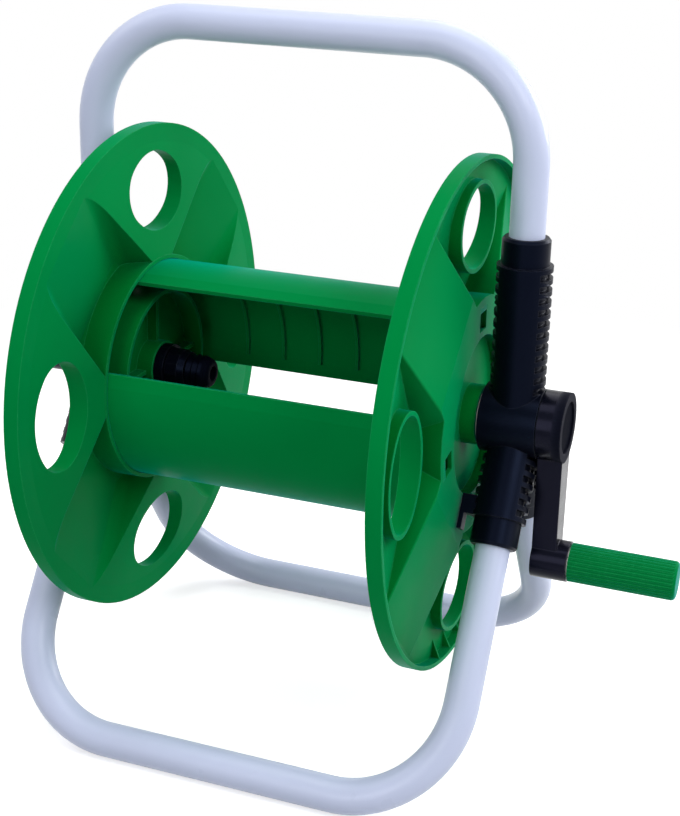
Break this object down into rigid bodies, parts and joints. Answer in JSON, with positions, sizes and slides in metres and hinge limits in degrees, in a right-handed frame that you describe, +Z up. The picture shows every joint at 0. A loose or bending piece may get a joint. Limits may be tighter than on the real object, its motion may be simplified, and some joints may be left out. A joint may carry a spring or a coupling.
{
  "type": "garden hose reel",
  "caption": "Free-standing hose reel: a drum between two flanges turns by a crank in a bent tube frame with a carrying bar.",
  "frame": {"origin": "on the floor, below the middle of the drum", "axes": "+X along the axle towards the crank, -X towards the tap connector, +Y to the rear, +Z up"},
  "size_m": [0.4169, 0.296, 0.42],
  "materials": {
    "tube_paint": "smooth powder coat, pale lavender white, soft sheen",
    "black_plastic": "injection moulded, black with a soft gloss",
    "green_plastic": "injection moulded, mid green with a soft gloss",
    "bush_plastic": "natural acetal",
    "steel": "zinc plated",
    "rubber": "black nitrile"
  },
  "bodies": {
    "frame": {"handle_tube": "tube_paint", "front_leg_tube": "tube_paint", "rear_leg_tube": "tube_paint", "left_bracket": "black_plastic", "right_bracket": "black_plastic", "left_bush": "bush_plastic", "right_bush": "bush_plastic", "left_tube_screws": "steel", "right_tube_screws": "steel"},
    "reel": {"left_flange": "green_plastic", "right_flange": "green_plastic", "front_drum_shell": "green_plastic", "rear_drum_shell": "green_plastic", "drive_spindle": "black_plastic", "water_axle": "black_plastic", "axle_nut": "black_plastic", "barb_seal": "rubber", "hose_barb": "black_plastic", "axle_o_ring": "rubber", "crank_arm": "black_plastic", "crank_screw": "steel", "crank_cap": "black_plastic", "grip_pin": "steel", "grip_washer": "steel"},
    "grip": {"crank_grip": "green_plastic"},
    "inlet": {"inlet_nipple": "black_plastic", "inlet_clip": "steel"}
  },
  "joints": [
    {"name": "reel_spin", "type": "hinge", "parent": "frame", "child": "reel", "pos_m": [0, 0, 0.201], "axis": [1, 0, 0], "continuous": true},
    {"name": "grip_spin", "type": "hinge", "parent": "reel", "child": "grip", "pos_m": [0.2, 0, 0.119], "axis": [1, 0, 0], "continuous": true},
    {"name": "inlet_swivel", "type": "hinge", "parent": "reel", "child": "inlet", "pos_m": [-0.16, 0, 0.201], "axis": [1, 0, 0], "continuous": true}
  ]
}
